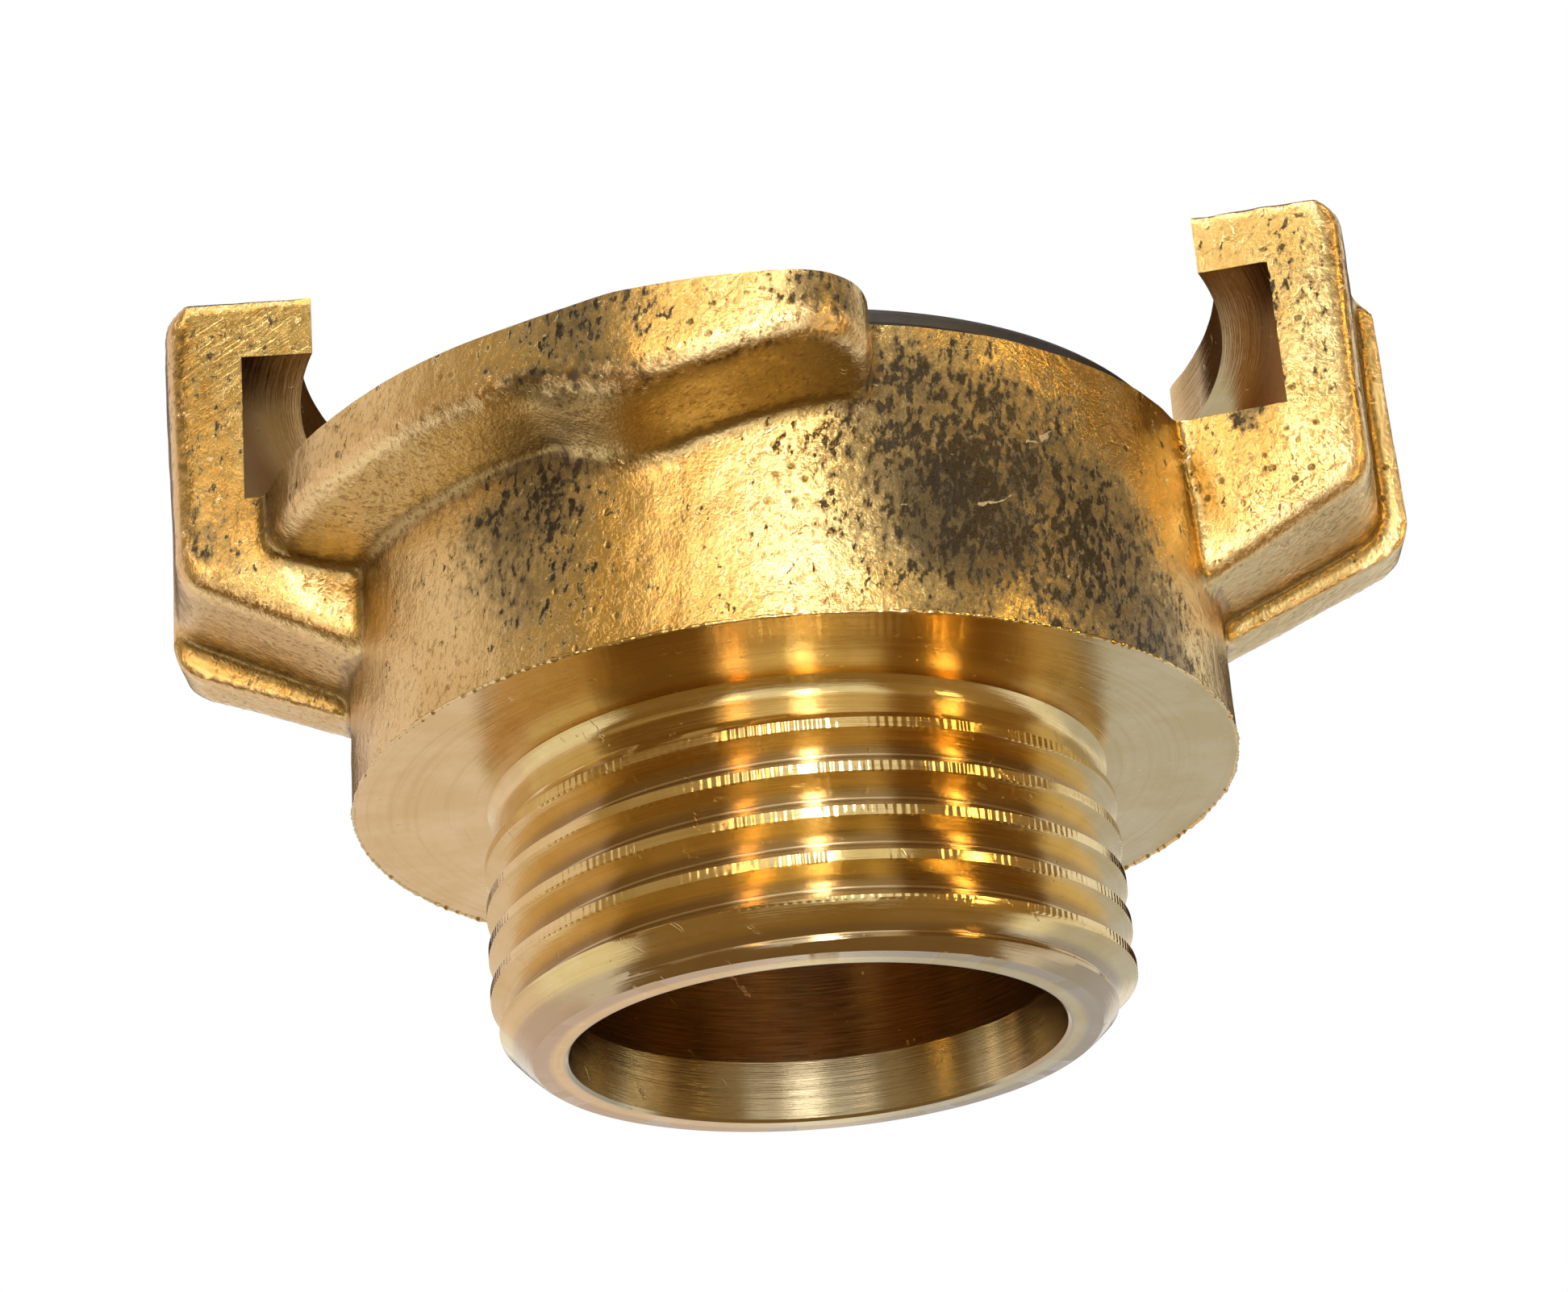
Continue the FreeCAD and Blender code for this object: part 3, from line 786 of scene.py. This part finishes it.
def forged_brass():
    """Forging skin: grained and pitted, khaki tarnish with dark grit in patches, painted shade in
    the hollows and under the lugs, and outer edges rubbed bright."""
    t = Tree(bpy.data.materials.new("forged_brass"))
    where = t.millimetres()
    loose = t.bent(where, 0.45, 4.0)
    cloud = t.noise(where, 0.16, 3.0, 0.5)
    grain = t.noise(where, 2.2, 6.0, 0.62)
    dents = t.noise(t.stretched(where, (0.0, 0.0, 0.0), (1.0, 1.0, 2.2)), 1.7, 3.0, 0.5)
    fine = t.noise(where, 7.0, 3.0, 0.6)
    speck = t.noise(t.stretched(where, (0.0, 0.25, 0.0), (0.9, 1.0, 1.7)), 3.0, 6.0, 0.66)
    flecks = t.noise(t.stretched(where, (0.3, 0.6, 0.2), (1.0, 1.0, 1.8)), 4.2, 6.0, 0.7)
    saw = t.noise(t.stretched(where, (0.0, -0.60, 0.0), (6.0, 1.0, 0.42)), 1.6, 3.0, 0.6)
    brush = t.noise(t.stretched(where, (0.0, -1.1, 0.0), (5.0, 1.2, 0.35)), 1.3, 3.0, 0.6)

    stand = t.add("ShaderNodeAttribute", attribute_type="GEOMETRY", attribute_name="stand")
    stand = t.plus(stand.outputs["Fac"], t.swing(grain, 0.22))
    ridge = t.ramp(stand, 0.055, 0.11)
    # Painted shade: the hollows of the skin are darkened.
    hollow_painted_shade = t.ramp(stand, -0.03, -0.10)
    facing = t.part(t.add("ShaderNodeNewGeometry").outputs["Normal"], 2)
    sides = t.ramp(facing, -0.85, -0.45)

    veil = t.times(t.most(loose, VEIL), sides)
    film = t.ramp(t.plus(veil, t.swing(speck, 1.1)), 0.10, 0.60)
    smudge = t.plus(t.most(loose, SMUDGE), t.swing(grain, 0.8))
    smudge = t.ramp(smudge, 0.25, 0.60, 0.0, 0.75)
    clump = t.swing(t.noise(where, 0.75, 3.0, 0.6), 0.35)
    grit = t.plus(t.times(veil, 0.22), t.plus(speck, clump))
    grit = t.times(t.ramp(grit, 0.63, 0.72), sides)
    shade = t.most(where, SHADE)
    # Painted shade: the down-facing lower edges of the lugs are darkened.
    under = t.times(t.ramp(facing, -0.18, -0.42), t.ramp(facing, -0.97, -0.80),
                    t.most(where, LUG_PAINTED_SHADE))
    strip = t.most(where, STRIP)
    fleck = t.times(t.ramp(flecks, 0.54, 0.66), t.ramp(cloud, 0.30, 0.55, 0.35, 0.85))
    pit = t.times(t.ramp(t.cells(where, 1.0, "F1"), 0.08, 0.20, 1.0, 0.0),
                  t.times(t.ramp(cloud, 0.42, 0.60), sides))
    crack = t.cells(t.bent(where, 1.2, 0.9), 2.4, "DISTANCE_TO_EDGE")
    crack = t.times(t.ramp(crack, 0.008, 0.03, 0.7, 0.0), t.near(where, *CRACKED))
    sawn = t.most(where, SAWN)
    brushed = t.most(where, BRUSHED)
    stroke = t.times(brushed, t.ramp(brush, 0.50, 0.66))
    scratch = t.scratches(where, (0.4, -0.3, 0.5), 7.0)

    bright = t.layers(
        rgb(228, 200, 138),
        (t.ramp(cloud, 0.35, 0.65), 1.0, rgb(215, 183, 116)),
        (t.ramp(dents, 0.45, 0.25), 0.30, rgb(186, 146, 76)),
        (sawn, t.ramp(saw, 0.45, 0.62), rgb(150, 124, 82)),
        (fleck, 0.55, rgb(138, 102, 54)),
    )
    grained = t.ramp(grain, 0.35, 0.65)
    khaki = t.layers(
        rgb(118, 98, 60),
        (grained, 1.0, rgb(152, 126, 76)),
        (stroke, 0.6, rgb(74, 58, 34)),
    )
    colour = t.layers(
        bright,
        (film, 1.0, khaki),
        (shade, 1.0, t.mix(grained, rgb(134, 112, 68), rgb(154, 133, 86))),
        (smudge, 1.0, rgb(82, 70, 47)),
        (grit, 0.92, rgb(46, 36, 22)),
        # Painted shade in the hollows.
        (hollow_painted_shade, 0.5, rgb(92, 66, 34)),
        # Painted shade under the lugs.
        (under, 0.9, rgb(74, 54, 28)),
        (strip, 0.9, rgb(66, 46, 24)),
        (pit, 0.7, rgb(66, 46, 24)),
        (crack, 1.0, rgb(110, 78, 34)),
        (ridge, 0.85, rgb(236, 204, 146)),
        (scratch, 0.6, rgb(236, 212, 164)),
    )

    dull = t.math("MAXIMUM", t.times(film, 0.50), t.times(smudge, 0.65))
    dull = t.times(t.math("MAXIMUM", dull, t.times(grit, 0.40)), t.without(ridge))
    rough = t.weighted((t.ramp(fine, 0.25, 0.75, 0.15, 0.27), 1.0), (dull, 0.18), (ridge, -0.04))
    height = t.weighted((grain, 0.50), (dents, 0.55), (fine, 0.36), (pit, -0.7), (grit, -0.35),
                        (crack, -0.6), (fleck, -0.12))
    height = t.times(height, t.without(t.times(shade, 0.45)))
    height = t.plus(height, t.times(sawn, saw), t.times(brushed, brush, 0.5),
                    t.times(scratch, -0.4))
    return t.finish(t.add("ShaderNodeBsdfPrincipled", {
        "Base Color": colour, "Metallic": t.without(dull), "Roughness": rough,
        "Normal": t.bump(height, 0.070, 0.9)}))


# Chatter marks round the crests, and the height up to which the bore's pale band reaches
CHATTER = 236.0
FLARE_TOP = 2.7


def turned_brass():
    """Lathe-turned face: fine rings round the axis that stretch highlights across them, chatter on
    the thread's crests, painted reflection in the roots and the bore, painted shade in the notches,
    and a few handling marks."""
    t = Tree(bpy.data.materials.new("turned_brass"))
    where = t.millimetres()
    level = t.part(where, 2)
    radius = t.length(t.vector("MULTIPLY", where, (1.0, 1.0, 0.0)))
    angle = t.math("ARCTAN2", t.part(where, 1), t.part(where, 0))
    rings = t.add("ShaderNodeCombineXYZ", {0: radius, 1: level, 2: t.times(angle, 0.25)})
    coarse = t.noise(rings, 3.2, 2.0, 0.6)
    fine = t.noise(rings, 15.0, 3.0, 0.7)
    blotch = t.noise(where, 0.30, 5.0, 0.6)
    patchy = t.ramp(t.noise(where, 0.5, 3.0, 0.6), 0.40, 0.62)

    on_crest = t.ramp(radius, CREST - 0.10, CREST - 0.03)
    below_neck = t.ramp(level, NECK_LOW, NECK_LOW - 0.2)
    chatter = t.times(t.math("SINE", t.times(angle, CHATTER)), on_crest, below_neck, patchy)
    outer = t.ramp(radius, BORE + 0.6, BORE + 0.9)
    low = t.ramp(level, NECK_HIGH + 0.1, NECK_HIGH - 0.1)
    # Painted reflection: the thread's roots are tinted grey, the colour their reflection shows.
    root = t.times(t.ramp(radius, ROOT + 0.55, ROOT + 0.15), t.times(outer, low))
    inside = t.ramp(radius, BORE + 0.3, BORE + 0.1)
    # Painted reflection in the bore: reddish brown above about 3 mm, pale in the band below.
    upper_bore_painted_reflection = t.times(inside, t.ramp(level, 2.4, 3.2))
    # Painted shade in the claws' notches.
    notch = t.times(t.ramp(radius, NOTCH - 1.5, NOTCH - 0.3), t.ramp(level, RIM - 0.5, RIM + 0.5))
    speck = t.times(t.ramp(t.noise(where, 2.6, 5.0, 0.7), 0.66, 0.74),
                    t.ramp(blotch, 0.40, 0.60))
    scratch = t.scratches(where, (0.3, 0.9, 0.4), 6.0)

    colour = t.layers(
        rgb(228, 204, 150),
        (t.ramp(blotch, 0.35, 0.65), 1.0, rgb(218, 191, 128)),
        (t.ramp(coarse, 0.45, 0.75), 0.25, rgb(188, 152, 84)),
        # Painted reflection in the thread's roots.
        (root, 0.6, rgb(168, 150, 132)),
        # Painted reflection: reddish brown in the bore's upper part.
        (upper_bore_painted_reflection, 0.5, rgb(196, 142, 88)),
        # Painted reflection: pale in the bore's lower band.
        (t.without(upper_bore_painted_reflection, inside), 0.8, rgb(184, 172, 146)),
        # Painted shade in the notches.
        (notch, 0.75, rgb(150, 108, 60)),
        (speck, 0.6, rgb(120, 84, 44)),
    )
    rough = t.weighted((t.ramp(fine, 0.3, 0.7, 0.11, 0.20), 1.0), (scratch, 0.1))
    flare = t.times(t.math("MINIMUM", level, FLARE_TOP), t.times(inside, 13.0))
    height = t.weighted((coarse, 0.6), (fine, 0.5), (chatter, 0.55), (scratch, -0.5),
                        (speck, -0.3))
    height = t.plus(height, flare)
    tangent = t.add("ShaderNodeTangent", direction_type="RADIAL", axis="Z")
    return t.finish(t.add("ShaderNodeBsdfPrincipled", {
        "Base Color": colour, "Metallic": 1.0, "Roughness": rough, "Anisotropic": 0.6,
        "Anisotropic Rotation": 0.25, "Tangent": tangent, "Normal": t.bump(height, 0.018, 0.8)}))


def black_rubber():
    """Moulded rubber: near black, with a pale bloom, rubbed along its rim."""
    t = Tree(bpy.data.materials.new("black_rubber"))
    where = t.millimetres()
    grain = t.noise(where, 5.0, 5.0, 0.6)
    bloom = t.noise(where, 2.6, 6.0, 0.6)
    rim = t.times(t.ramp(t.part(where, 2), 24.30, 24.50), t.ramp(bloom, 0.35, 0.65))
    colour = t.layers(
        rgb(25, 22, 28),
        (t.ramp(bloom, 0.4, 0.7), 1.0, rgb(35, 32, 38)),
        (rim, 0.20, rgb(66, 62, 67)),
    )
    return t.finish(t.add("ShaderNodeBsdfPrincipled", {
        "Base Color": colour, "Roughness": t.ramp(bloom, 0.3, 0.7, 0.36, 0.56),
        "Normal": t.bump(grain, 0.03, 0.6)}))


def pale_floor():
    """A pale matt sheet, seen from above only. From below it lets view and lamps through."""
    t = Tree(bpy.data.materials.new("pale_floor"))
    cloud = t.noise(t.millimetres(), 0.02, 2.0, 0.5)
    tone = t.mix(cloud, rgb(240, 239, 236), rgb(235, 234, 231))
    matt = t.add("ShaderNodeBsdfDiffuse", {"Color": tone})
    clear = t.add("ShaderNodeBsdfTransparent")
    back = t.add("ShaderNodeNewGeometry").outputs["Backfacing"]
    lamps = t.add("ShaderNodeLightPath").outputs["Is Shadow Ray"]
    share = t.math("MAXIMUM", back, lamps)
    return t.finish(t.add("ShaderNodeMixShader", {0: share, 1: matt, 2: clear}))


def glow(name, colour):
    """The plain light of a studio card."""
    t = Tree(bpy.data.materials.new(name))
    return t.finish(t.add("ShaderNodeEmission", {"Color": colour, "Strength": 1.0}))


# The studio, in metres: what it faces, and how far off the cards stand
MIDDLE = Vector((0.0, 0.0, 0.018))
CARD_DISTANCE = 0.6
CARD_COLUMNS = 24
CARD_ROWS = 8
FLOOR_HALF = 1.2
FLOOR_LEVEL = -0.00002

# Cards that only reflections show: name, colour, azimuths and elevations in degrees
CARDS = (
    ("card_far_left", rgb(246, 230, 228), (-150.0, -78.0), (-14.0, 75.0)),
    ("card_left", rgb(176, 154, 116), (-78.0, -26.0), (-14.0, 75.0)),
    ("card_low_left", rgb(255, 250, 236), (-26.0, 9.0), (-14.0, 27.0)),
    ("card_low_middle", rgb(255, 250, 236), (9.0, 25.0), (-14.0, 25.5)),
    ("card_low_right", rgb(255, 250, 236), (25.0, 36.0), (-14.0, 30.0)),
    ("card_high_left", rgb(232, 222, 186), (-26.0, 9.0), (27.0, 75.0)),
    ("card_high_middle", rgb(132, 122, 88), (9.0, 25.0), (25.5, 75.0)),
    ("card_high_right", rgb(236, 228, 196), (25.0, 36.0), (30.0, 75.0)),
    ("card_right", rgb(156, 128, 88), (36.0, 102.0), (-14.0, 27.0)),
    ("card_right_high", rgb(88, 64, 40), (36.0, 112.0), (27.0, 75.0)),
    ("card_back", rgb(60, 36, 14), (138.0, 222.0), (9.0, 86.0)),
    ("card_back_left", rgb(236, 220, 216), (181.0, 240.0), (-42.0, -6.0)),
    ("card_back_right", rgb(200, 204, 214), (120.0, 179.0), (-42.0, -6.0)),
    ("card_below_left", rgb(132, 104, 66), (-78.0, -26.0), (-50.0, -14.0)),
    ("card_below_right", rgb(156, 126, 80), (36.0, 102.0), (-50.0, -14.0)),
    ("card_below", rgb(140, 112, 70), (-180.0, 180.0), (-90.0, -50.0)),
)

# Lamps: name, azimuth, elevation, distance, size, power in watts and colour. The strips make the
# streaks that brass reflects, and light nothing else.
LAMPS = (
    ("strip_left", -20.0, 13.5, 0.55, (0.022, 0.24), 0.26, (1.0, 0.55, 0.14)),
    ("strip_middle", 6.0, 13.5, 0.55, (0.016, 0.24), 0.75, (1.0, 1.0, 1.0)),
    ("strip_right", 62.0, 13.5, 0.55, (0.032, 0.24), 0.50, (1.0, 0.66, 0.20)),
    ("strip_left_high", -20.0, 50.0, 0.55, (0.024, 0.20), 0.15, (1.0, 0.60, 0.18)),
    ("strip_middle_high", 7.0, 54.0, 0.55, (0.018, 0.16), 0.28, (1.0, 1.0, 1.0)),
    ("strip_right_high", 62.0, 50.0, 0.55, (0.034, 0.20), 0.28, (1.0, 0.68, 0.24)),
    ("strip_left_low", -20.0, -25.0, 0.55, (0.026, 0.13), 0.10, (1.0, 0.60, 0.20)),
    ("strip_middle_low", 6.0, -25.0, 0.55, (0.022, 0.13), 0.16, (1.0, 1.0, 0.96)),
    ("strip_right_low", 62.0, -25.0, 0.55, (0.036, 0.13), 0.22, (1.0, 0.70, 0.26)),
    ("low", 8.0, -9.0, 0.55, (0.16, 0.06), 0.10, (1.0, 0.98, 0.94)),
    ("top", 20.0, 65.0, 0.8, (0.5, 0.5), 3.0, (1.0, 0.97, 0.92)),
)

# The camera that the photograph's ellipses give
LENS = 80.30
SENSOR = 36.0
CAMERA_PLACE = (-0.00003, -0.136565, -0.0435)
CAMERA_RIGHT = (0.99637, 0.03497, -0.07763)
CAMERA_UP = (0.08514, -0.40921, 0.90849)

# How bright the world is where neither the camera nor a reflection sees it
WORLD_LEVEL = 0.6


def toward(azimuth, elevation):
    """A direction: azimuth from -Y towards +X, elevation above the floor, in degrees."""
    a, e = math.radians(azimuth), math.radians(elevation)
    return Vector((math.sin(a) * math.cos(e), -math.cos(a) * math.cos(e), math.sin(e)))


def card(name, colour, azimuths, elevations):
    """A curved card round the object, between two azimuths and two elevations."""
    bm = bmesh.new()
    columns = []
    for i in range(CARD_COLUMNS + 1):
        azimuth = azimuths[0] + (azimuths[1] - azimuths[0]) * i / CARD_COLUMNS
        column = []
        for j in range(CARD_ROWS + 1):
            elevation = elevations[0] + (elevations[1] - elevations[0]) * j / CARD_ROWS
            place = MIDDLE + toward(azimuth, elevation) * CARD_DISTANCE
            column.append(bm.verts.new(place))
        columns.append(column)
    for a, b in zip(columns, columns[1:]):
        for j in range(CARD_ROWS):
            bm.faces.new((a[j], b[j], b[j + 1], a[j + 1]))
    obj = object_of(name, bm)
    obj.data.materials.append(glow(name, colour))
    obj.visible_camera = False
    obj.visible_diffuse = False
    obj.visible_transmission = False
    obj.visible_volume_scatter = False
    obj.visible_shadow = False


def lamp(name, azimuth, elevation, distance, size, power, colour):
    """A soft rectangular lamp that faces the object."""
    data = bpy.data.lights.new(name, "AREA")
    data.shape = "RECTANGLE"
    data.size, data.size_y = size
    data.energy = power
    data.color = colour
    obj = bpy.data.objects.new(name, data)
    scene.collection.objects.link(obj)
    out = toward(azimuth, elevation)
    obj.location = MIDDLE + out * distance
    obj.visible_diffuse = not name.startswith("strip")
    obj.rotation_mode = "QUATERNION"
    obj.rotation_quaternion = (-out).to_track_quat("-Z", "Y")


def floor():
    """A pale sheet just under the thread's end."""
    bm = bmesh.new()
    bmesh.ops.create_grid(bm, x_segments=8, y_segments=8, size=FLOOR_HALF)
    bmesh.ops.translate(bm, vec=(0, 0, FLOOR_LEVEL), verts=bm.verts)
    obj = object_of("floor", bm)
    obj.data.materials.append(pale_floor())
    obj.visible_glossy = False


def white_world():
    """White for the camera and in reflections, and a plain even level for the rest."""
    t = Tree(bpy.data.worlds.new("studio"))
    path = t.add("ShaderNodeLightPath").outputs
    seen = t.math("MAXIMUM", path["Is Camera Ray"], path["Is Glossy Ray"])
    seen = t.math("MAXIMUM", seen, path["Is Transmission Ray"])
    level = t.ramp(seen, 0.0, 1.0, WORLD_LEVEL, 1.0)
    sky = t.add("ShaderNodeBackground", {"Color": (1.0, 1.0, 1.0, 1.0), "Strength": level})
    scene.world = t.finish(sky, "ShaderNodeOutputWorld")


def photograph_camera():
    """The photograph's view, from below the object's middle."""
    data = bpy.data.cameras.new("camera")
    data.lens = LENS
    data.sensor_width = SENSOR
    data.clip_start = 0.01
    data.clip_end = 20.0
    obj = bpy.data.objects.new("camera", data)
    scene.collection.objects.link(obj)
    right = Vector(CAMERA_RIGHT).normalized()
    up = Vector(CAMERA_UP)
    up = (up - right * up.dot(right)).normalized()
    turn = Matrix((right, up, right.cross(up))).transposed().to_4x4()
    obj.matrix_world = Matrix.Translation(CAMERA_PLACE) @ turn
    scene.camera = obj


collar = forged_blank()
cut(collar, lathe_cutter())
turned = turned_brass()
shade_turned(collar, (forged_brass(), turned))
burr = shoulder_burr(collar)
thread = threaded_spigot()
seal = rubber_seal()
burr.data.materials.append(turned)
thread.data.materials.append(turned)
seal.data.materials.append(black_rubber())
for piece, node, slot in ((collar, "coupling_body", "brass"), (burr, "coupling_body", "brass"),
                          (thread, "coupling_body", "brass"), (seal, "face_seal", "seal")):
    piece.data.transform(Matrix.Scale(MM, 4))
    piece.data.update()
    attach(piece, "root")
    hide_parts(node)

floor()
for row in CARDS:
    card(*row)
for row in LAMPS:
    lamp(*row)
white_world()
photograph_camera()
scene.view_settings.view_transform = "Standard"
